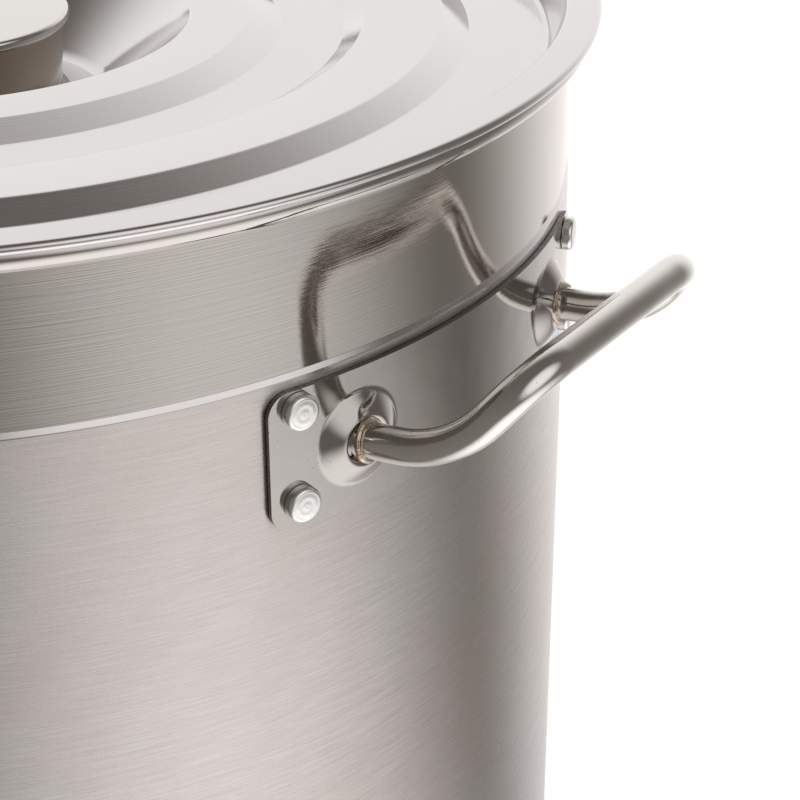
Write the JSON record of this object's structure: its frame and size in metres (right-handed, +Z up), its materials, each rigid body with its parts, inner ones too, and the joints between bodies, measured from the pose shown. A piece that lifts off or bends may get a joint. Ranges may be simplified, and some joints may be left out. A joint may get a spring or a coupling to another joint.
{
  "type": "brew kettle",
  "caption": "Tall stainless brew kettle with a rolled rim, a bonded base, riveted rod handles on both sides and a lift-off lid with a sunk knob.",
  "frame": {"origin": "centre of the base, on the surface that the kettle stands on", "axes": "+Z up the kettle's axis; +X and -X through the two side handles"},
  "size_m": [0.4972, 0.4156, 0.4012],
  "materials": {
    "brushed_wall": "horizontal brushing on the body, polished band under the rim",
    "polished_lid": "spun and polished",
    "polished_knob": "spun and polished",
    "polished_plate": "bright polished sheet",
    "polished_rod": "mirror polished round bar",
    "weld_metal": "weld bead with heat tint",
    "rivet_metal": "turned, satin",
    "core_aluminium": "as rolled",
    "base_steel": "circular brushing",
    "fastener_steel": "plain"
  },
  "bodies": {
    "kettle": {"kettle_wall": "brushed_wall", "bottom_pan": "brushed_wall", "bottom_core": "core_aluminium", "bottom_cap": "base_steel", "right_handle_plate": "polished_plate", "right_handle_rod": "polished_rod", "right_front_rod_weld": "weld_metal", "right_rear_rod_weld": "weld_metal", "right_rivet_lower_front": "rivet_metal", "right_rivet_lower_rear": "rivet_metal", "right_rivet_upper_front": "rivet_metal", "right_rivet_upper_rear": "rivet_metal", "left_handle_plate": "polished_plate", "left_handle_rod": "polished_rod", "left_front_rod_weld": "weld_metal", "left_rear_rod_weld": "weld_metal", "left_rivet_lower_front": "rivet_metal", "left_rivet_lower_rear": "rivet_metal", "left_rivet_upper_front": "rivet_metal", "left_rivet_upper_rear": "rivet_metal"},
    "lid": {"lid_pan": "polished_lid", "lid_knob_base": "polished_knob", "lid_knob_shell": "polished_knob", "lid_knob_cap": "polished_knob", "lid_knob_stud": "fastener_steel", "lid_knob_washer": "fastener_steel", "lid_knob_nut": "fastener_steel"}
  },
  "joints": [
    {"name": "lid_lift", "type": "slide", "parent": "kettle", "child": "lid", "axis": [0, 0, 1], "range_m": [0, 0.3]}
  ]
}
